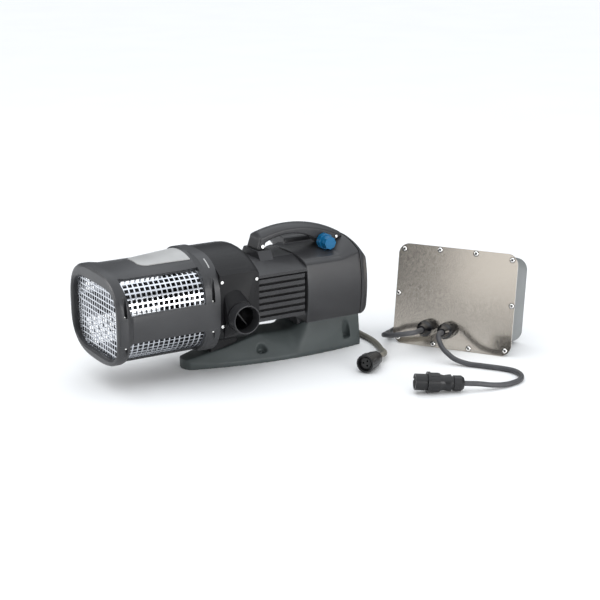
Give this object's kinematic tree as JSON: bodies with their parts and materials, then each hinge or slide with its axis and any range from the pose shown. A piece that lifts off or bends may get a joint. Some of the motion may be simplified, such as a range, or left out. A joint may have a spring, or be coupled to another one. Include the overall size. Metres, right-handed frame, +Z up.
{
  "type": "submersible pond pump with control box",
  "caption": "Submersible pump with a mesh strainer cage, finned motor, carrying handle and foot, with its free-standing control box and plug-in leads.",
  "frame": {"origin": "on the floor, at the centre of the four screw holes of the foot", "axes": "+X from the strainer to the motor, -Y the way the outlet points, +Z up"},
  "size_m": [0.8704, 0.6065, 0.2575],
  "materials": {
    "black_plastic": "satin",
    "mesh_steel": "bright",
    "screw_steel": "bright",
    "trim_plate": "satin",
    "seal_rubber": "matt",
    "impeller_plastic": "satin",
    "magnet": "satin",
    "bearing_ceramic": "polished",
    "can_plastic": "satin",
    "stator_copper": "varnished",
    "blue_plastic": "glossy",
    "foot_plastic": "satin",
    "pump_cable": "satin",
    "box_cable": "satin",
    "plug_rubber": "satin",
    "box_grey": "satin",
    "cover_steel": "brushed",
    "board": "satin"
  },
  "bodies": {
    "pump": {"upper_shell": "black_plastic", "side_band_right": "black_plastic", "side_band_left": "black_plastic", "lower_shell": "black_plastic", "front_mesh": "mesh_steel", "upper_mesh_right": "mesh_steel", "upper_mesh_left": "mesh_steel", "lower_mesh_right": "mesh_steel", "lower_mesh_left": "mesh_steel", "cage_screws": "screw_steel", "top_plate": "trim_plate", "inlet_cover": "black_plastic", "pump_housing": "black_plastic", "housing_seal": "seal_rubber", "outlet_collar": "black_plastic", "front_bearing": "bearing_ceramic", "rear_bearing": "bearing_ceramic", "rotor_can": "can_plastic", "stator": "stator_copper", "motor_housing": "black_plastic", "housing_screws": "screw_steel", "rear_cover": "black_plastic", "end_cap": "black_plastic", "handle": "black_plastic", "handle_screws": "screw_steel", "port_socket": "black_plastic", "base": "foot_plastic", "lead_gland": "black_plastic", "pump_lead": "pump_cable", "connector_body": "black_plastic", "connector_insert": "seal_rubber", "box_body": "box_grey", "box_gasket": "seal_rubber", "cover_plate": "cover_steel", "cover_screws": "screw_steel", "circuit_board": "board", "gland_bodies": "black_plastic", "gland_nuts": "black_plastic", "output_lead": "box_cable", "plug_body": "black_plastic", "plug_insert": "seal_rubber", "plug_nut": "black_plastic", "supply_lead": "box_cable", "supply_coil": "box_cable", "supply_plug": "plug_rubber"},
    "rotor": {"impeller": "impeller_plastic", "rotor_shaft": "screw_steel", "rotor_magnet": "magnet"},
    "port_cap": {"port_cap": "blue_plastic"},
    "connector_ring": {"connector_ring": "black_plastic"},
    "plug_ring": {"plug_ring": "black_plastic"}
  },
  "joints": [
    {"name": "rotor_spin", "type": "hinge", "parent": "pump", "child": "rotor", "pos_m": [-0.2, 0, 0.136], "axis": [1, 0, 0], "continuous": true},
    {"name": "port_cap_turn", "type": "hinge", "parent": "pump", "child": "port_cap", "pos_m": [0.057, -0.026, 0.218], "axis": [0, -1, 0], "range_deg": [0, 90]},
    {"name": "connector_ring_turn", "type": "hinge", "parent": "pump", "child": "connector_ring", "pos_m": [0.037, -0.207, 0.0195], "axis": [0.846, 0.5286, -0.0698], "range_deg": [0, 60]},
    {"name": "plug_ring_turn", "type": "hinge", "parent": "pump", "child": "plug_ring", "pos_m": [0.055, -0.344, 0.022], "axis": [0.9041, -0.4216, -0.0698], "range_deg": [0, 60]}
  ]
}
